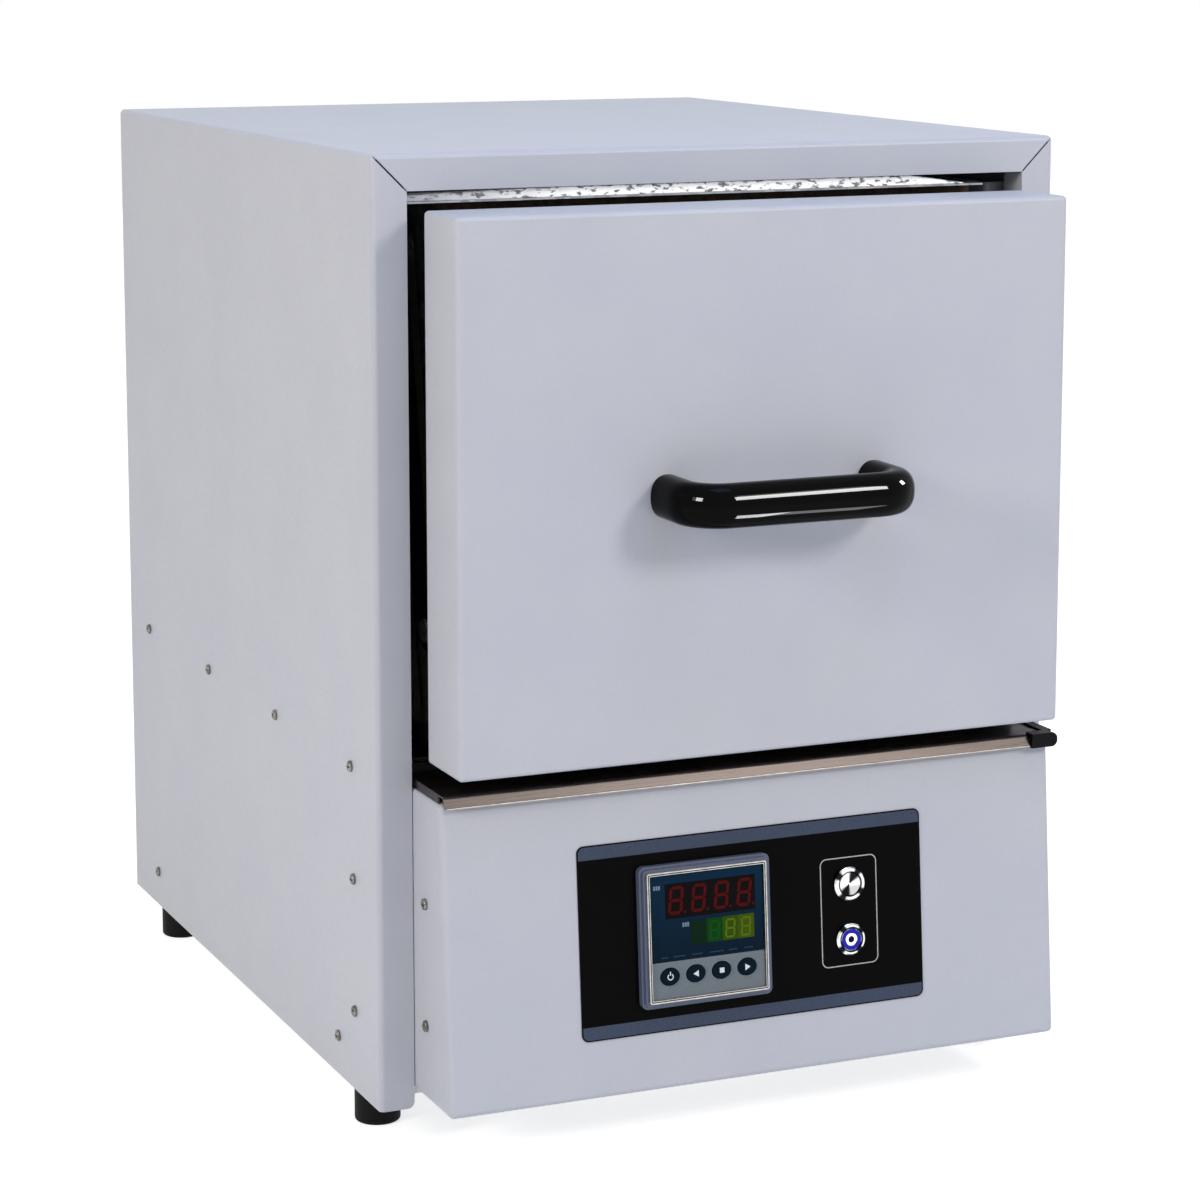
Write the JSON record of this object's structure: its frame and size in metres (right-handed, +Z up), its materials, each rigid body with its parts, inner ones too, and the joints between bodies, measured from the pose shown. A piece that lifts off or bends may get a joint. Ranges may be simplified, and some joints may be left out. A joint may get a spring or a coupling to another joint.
{
  "type": "muffle furnace",
  "caption": "Bench muffle furnace: sheet-metal casing, heated chamber behind a lift-up door on parallel arms, controller and push-buttons on a sloping front.",
  "frame": {"origin": "centre of the whole furnace in plan, at the soles of its feet", "axes": "+Z up, -Y out of the front with the door, +X to the right of someone facing the door"},
  "size_m": [0.418, 0.621, 0.547],
  "materials": {
    "powder_coat": "satin",
    "galvanised": "satin",
    "stainless": "satin",
    "zinc_steel": "satin",
    "screw_steel": "polished",
    "fibre_board": "matte",
    "moulded_ceramic": "matte",
    "hearth_ceramic": "matte",
    "sheath_ceramic": "satin",
    "heating_wire": "matte",
    "black_gloss": "gloss",
    "black_plastic": "matte",
    "panel_film": "gloss",
    "bezel_plastic": "satin",
    "bright_trim": "polished",
    "display_window": "gloss",
    "key_rubber": "satin",
    "button_steel": "polished",
    "foot_rubber": "matte",
    "relay_plastic": "matte",
    "sink_aluminium": "satin",
    "white_plastic": "matte"
  },
  "bodies": {
    "root": {"outer_casing": "powder_coat", "base_pan": "galvanised", "back_panel": "powder_coat", "partition_plate": "galvanised", "control_brackets": "galvanised", "side_screws_right": "screw_steel", "side_screws_left": "screw_steel", "back_panel_screws": "screw_steel", "rubber_feet": "foot_rubber", "inner_case": "galvanised", "front_collar": "stainless", "insulation_floor": "fibre_board", "insulation_roof": "fibre_board", "insulation_right": "fibre_board", "insulation_left": "fibre_board", "insulation_rear": "fibre_board", "heater_plate_right": "moulded_ceramic", "heater_plate_left": "moulded_ceramic", "heater_coils": "heating_wire", "hearth_plate": "hearth_ceramic", "thermocouple": "sheath_ceramic", "exhaust_tube": "sheath_ceramic", "lift_bracket_right": "powder_coat", "lift_bracket_left": "powder_coat", "case_pivot_pins": "zinc_steel", "door_switch": "black_plastic", "control_housing": "powder_coat", "panel_overlay": "panel_film", "controller_body": "black_plastic", "controller_bezel": "bezel_plastic", "controller_trim": "bright_trim", "controller_front": "display_window", "power_button_bezel": "button_steel", "start_button_bezel": "button_steel", "heat_shield_tray": "stainless", "tray_end_cap": "black_plastic", "relay_heat_sink": "sink_aluminium", "solid_state_relay": "relay_plastic", "terminal_block": "white_plastic", "cable_gland": "black_plastic"},
    "upper_arms": {"upper_arm_right": "zinc_steel", "upper_arm_left": "zinc_steel"},
    "lower_arms": {"lower_arm_right": "zinc_steel", "lower_arm_left": "zinc_steel"},
    "door": {"door_bracket_right": "zinc_steel", "door_bracket_left": "zinc_steel", "door_pivot_pins": "zinc_steel", "door_pan": "powder_coat", "door_back_plate": "stainless", "door_insulation": "fibre_board", "door_plug": "fibre_board", "door_handle": "black_gloss", "handle_screws": "screw_steel", "door_magnet": "black_plastic"},
    "power_button": {"power_button_cap": "button_steel"},
    "start_button": {"start_button_cap": "button_steel"},
    "power_key": {"key_power": "key_rubber"},
    "left_key": {"key_left": "key_rubber"},
    "stop_key": {"key_stop": "key_rubber"},
    "right_key": {"key_right": "key_rubber"}
  },
  "joints": [
    {"name": "door_lift", "type": "hinge", "parent": "root", "child": "upper_arms", "pos_m": [0, -0.1535, 0.494], "axis": [-1, 0, 0], "range_deg": [0, 87]},
    {"name": "door_upright", "type": "hinge", "parent": "upper_arms", "child": "door", "pos_m": [0, -0.18997, 0.28719], "axis": [-1, 0, 0], "range_deg": [-87, 0]},
    {"name": "lower_arm_swing", "type": "hinge", "parent": "root", "child": "lower_arms", "pos_m": [0, -0.1235, 0.442], "axis": [-1, 0, 0], "range_deg": [0, 87]},
    {"name": "power_button_press", "type": "slide", "parent": "root", "child": "power_button", "axis": [0, 0.9969, -0.0789], "range_m": [0, 0.0015], "stiffness_N_per_m": 1500, "springref_m": -0.001},
    {"name": "start_button_press", "type": "slide", "parent": "root", "child": "start_button", "axis": [0, 0.9969, -0.0789], "range_m": [0, 0.0015], "stiffness_N_per_m": 1500, "springref_m": -0.001},
    {"name": "power_key_press", "type": "slide", "parent": "root", "child": "power_key", "axis": [0, 0.9969, -0.0789], "range_m": [0, 0.0006], "stiffness_N_per_m": 800, "springref_m": -0.0008},
    {"name": "left_key_press", "type": "slide", "parent": "root", "child": "left_key", "axis": [0, 0.9969, -0.0789], "range_m": [0, 0.0006], "stiffness_N_per_m": 800, "springref_m": -0.0008},
    {"name": "stop_key_press", "type": "slide", "parent": "root", "child": "stop_key", "axis": [0, 0.9969, -0.0789], "range_m": [0, 0.0006], "stiffness_N_per_m": 800, "springref_m": -0.0008},
    {"name": "right_key_press", "type": "slide", "parent": "root", "child": "right_key", "axis": [0, 0.9969, -0.0789], "range_m": [0, 0.0006], "stiffness_N_per_m": 800, "springref_m": -0.0008}
  ],
  "couplings": [
    {"joint": "door_upright", "follows": "door_lift", "ratio": -1},
    {"joint": "lower_arm_swing", "follows": "door_lift", "ratio": 1}
  ]
}
